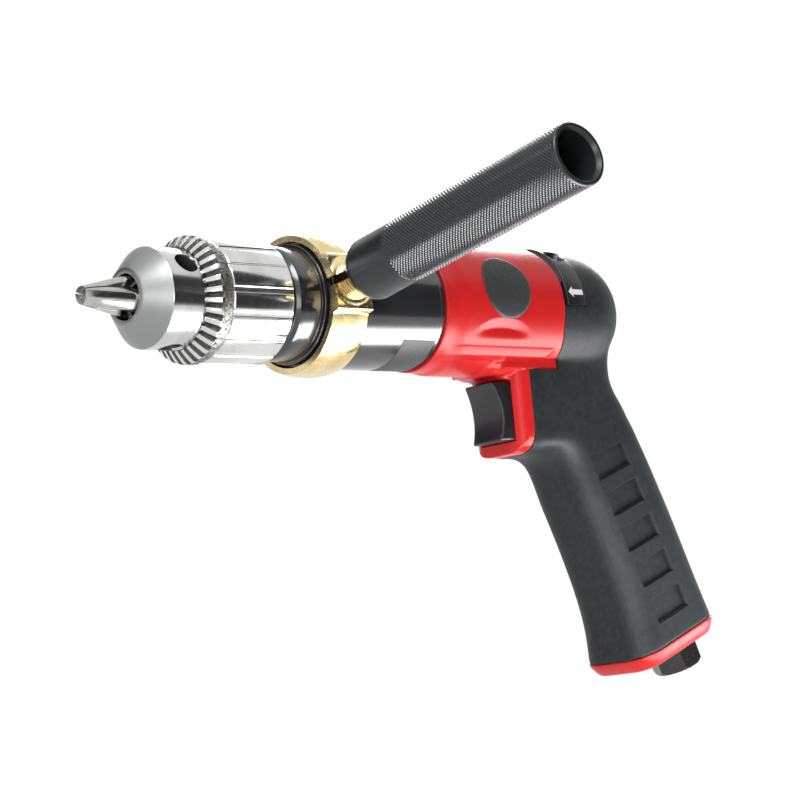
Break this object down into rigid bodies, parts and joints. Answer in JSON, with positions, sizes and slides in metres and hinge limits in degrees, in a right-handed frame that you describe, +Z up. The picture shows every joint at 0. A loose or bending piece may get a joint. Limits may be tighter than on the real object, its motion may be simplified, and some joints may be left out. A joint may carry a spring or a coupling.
{
  "type": "air drill",
  "caption": "Pistol grip pneumatic drill with a keyed chuck, planetary gear case, clamped knurled side handle, sprung trigger, reverse ring, rubber covered grip and air inlet.",
  "frame": {"origin": "centre of the chuck's nose face, on the drill axis", "axes": "-X along the drill axis out of the chuck, +X to the rear, +Z up away from the grip"},
  "size_m": [0.2762, 0.1648, 0.1715],
  "materials": {
    "chuck_steel": "satin turned",
    "jaw_steel": "ground",
    "steel": "machined",
    "black_case": "gloss black",
    "brass": "polished",
    "handle_steel": "black oxide, knurled",
    "red_plastic": "satin gloss red",
    "rubber": "charcoal satin",
    "black_plastic": "satin black",
    "grey_plastic": "plain",
    "felt": "pressed felt"
  },
  "bodies": {
    "drill": {"gear_case": "black_case", "spindle_seal": "rubber", "front_bearing_outer": "steel", "rear_bearing_outer": "steel", "ring_gear": "steel", "gear_spacer": "steel", "front_end_plate": "steel", "motor_front_bearing_outer": "steel", "cylinder_liner": "steel", "rear_end_plate": "steel", "motor_rear_bearing_outer": "steel", "motor_housing": "red_plastic", "rear_cap": "black_plastic", "throttle_bushing": "brass", "throttle_seat": "rubber", "throttle_spring": "steel", "grip_cover": "rubber", "base_cap": "red_plastic", "base_screws": "steel", "inlet_bushing": "black_case", "inlet_screen": "steel", "muffler": "felt"},
    "chuck": {"spindle": "steel", "output_planet_pins": "steel", "front_bearing_inner": "steel", "rear_bearing_inner": "steel", "bearing_spacer": "steel", "chuck_body": "chuck_steel", "chuck_screw": "steel"},
    "sleeve": {"chuck_sleeve": "chuck_steel", "chuck_nut": "steel"},
    "first_carrier": {"first_carrier": "steel", "first_planet_pins": "steel"},
    "rotor": {"rotor": "steel", "motor_pinion": "steel", "vanes": "grey_plastic", "motor_front_bearing_inner": "steel", "motor_rear_bearing_inner": "steel"},
    "collar": {"handle_collar": "brass"},
    "handle": {"side_handle": "handle_steel"},
    "trigger": {"trigger": "black_plastic", "trigger_stem": "steel", "throttle_valve": "brass"},
    "reverse": {"reverse_ring": "black_plastic", "reverse_pin": "black_plastic", "reverse_valve": "grey_plastic"},
    "jaw_1": {"chuck_jaw_1": "jaw_steel"},
    "output_planet_1": {"output_planet_1": "steel"},
    "first_planet_1": {"first_planet_1": "steel"},
    "jaw_2": {"chuck_jaw_2": "jaw_steel"},
    "output_planet_2": {"output_planet_2": "steel"},
    "first_planet_2": {"first_planet_2": "steel"},
    "jaw_3": {"chuck_jaw_3": "jaw_steel"},
    "output_planet_3": {"output_planet_3": "steel"},
    "first_planet_3": {"first_planet_3": "steel"}
  },
  "joints": [
    {"name": "spindle_spin", "type": "hinge", "parent": "drill", "child": "chuck", "pos_m": [0, 0, 0], "axis": [1, 0, 0], "continuous": true},
    {"name": "first_carrier_spin", "type": "hinge", "parent": "drill", "child": "first_carrier", "pos_m": [0.1, 0, 0], "axis": [1, 0, 0], "continuous": true},
    {"name": "rotor_spin", "type": "hinge", "parent": "drill", "child": "rotor", "pos_m": [0.14, 0, 0], "axis": [1, 0, 0], "continuous": true},
    {"name": "output_planet_1_spin", "type": "hinge", "parent": "chuck", "child": "output_planet_1", "pos_m": [0.0958, 0, -0.0105], "axis": [1, 0, 0], "continuous": true},
    {"name": "first_planet_1_spin", "type": "hinge", "parent": "first_carrier", "child": "first_planet_1", "pos_m": [0.1084, 0, -0.0105], "axis": [1, 0, 0], "continuous": true},
    {"name": "output_planet_2_spin", "type": "hinge", "parent": "chuck", "child": "output_planet_2", "pos_m": [0.0958, 0.00909, 0.00525], "axis": [1, 0, 0], "continuous": true},
    {"name": "first_planet_2_spin", "type": "hinge", "parent": "first_carrier", "child": "first_planet_2", "pos_m": [0.1084, 0.00909, 0.00525], "axis": [1, 0, 0], "continuous": true},
    {"name": "output_planet_3_spin", "type": "hinge", "parent": "chuck", "child": "output_planet_3", "pos_m": [0.0958, -0.00909, 0.00525], "axis": [1, 0, 0], "continuous": true},
    {"name": "first_planet_3_spin", "type": "hinge", "parent": "first_carrier", "child": "first_planet_3", "pos_m": [0.1084, -0.00909, 0.00525], "axis": [1, 0, 0], "continuous": true},
    {"name": "sleeve_turn", "type": "hinge", "parent": "chuck", "child": "sleeve", "pos_m": [0.03, 0, 0], "axis": [1, 0, 0], "range_deg": [0, 4320]},
    {"name": "jaw_1_slide", "type": "slide", "parent": "chuck", "child": "jaw_1", "axis": [0.9677, 0.022, 0.2511], "range_m": [0, 0.02519]},
    {"name": "jaw_2_slide", "type": "slide", "parent": "chuck", "child": "jaw_2", "axis": [0.9677, 0.2065, -0.1446], "range_m": [0, 0.02519]},
    {"name": "jaw_3_slide", "type": "slide", "parent": "chuck", "child": "jaw_3", "axis": [0.9677, -0.2285, -0.1065], "range_m": [0, 0.02519]},
    {"name": "collar_swivel", "type": "hinge", "parent": "drill", "child": "collar", "pos_m": [0.07838, 0, 0], "axis": [1, 0, 0], "continuous": true},
    {"name": "handle_clamp", "type": "hinge", "parent": "collar", "child": "handle", "pos_m": [0.07838, 0, 0], "axis": [0, -0.9863, 0.165], "range_deg": [0, 90]},
    {"name": "trigger_pull", "type": "slide", "parent": "drill", "child": "trigger", "axis": [1, 0, 0], "range_m": [0, 0.005], "stiffness_N_per_m": 1500, "springref_m": -0.004, "deforming": ["throttle_spring"]},
    {"name": "reverse_turn", "type": "hinge", "parent": "drill", "child": "reverse", "pos_m": [0.189, 0, 0], "axis": [-1, 0, 0], "range_deg": [0, 20]}
  ],
  "couplings": [
    {"joint": "spindle_spin", "follows": "rotor_spin", "ratio": 0.04},
    {"joint": "first_carrier_spin", "follows": "rotor_spin", "ratio": 0.2},
    {"joint": "output_planet_1_spin", "follows": "rotor_spin", "ratio": -0.10667},
    {"joint": "first_planet_1_spin", "follows": "rotor_spin", "ratio": -0.53333},
    {"joint": "output_planet_2_spin", "follows": "rotor_spin", "ratio": -0.10667},
    {"joint": "first_planet_2_spin", "follows": "rotor_spin", "ratio": -0.53333},
    {"joint": "output_planet_3_spin", "follows": "rotor_spin", "ratio": -0.10667},
    {"joint": "first_planet_3_spin", "follows": "rotor_spin", "ratio": -0.53333},
    {"joint": "jaw_1_slide", "follows": "sleeve_turn", "m_per_rad": 0.00033409},
    {"joint": "jaw_2_slide", "follows": "sleeve_turn", "m_per_rad": 0.00033409},
    {"joint": "jaw_3_slide", "follows": "sleeve_turn", "m_per_rad": 0.00033409}
  ]
}
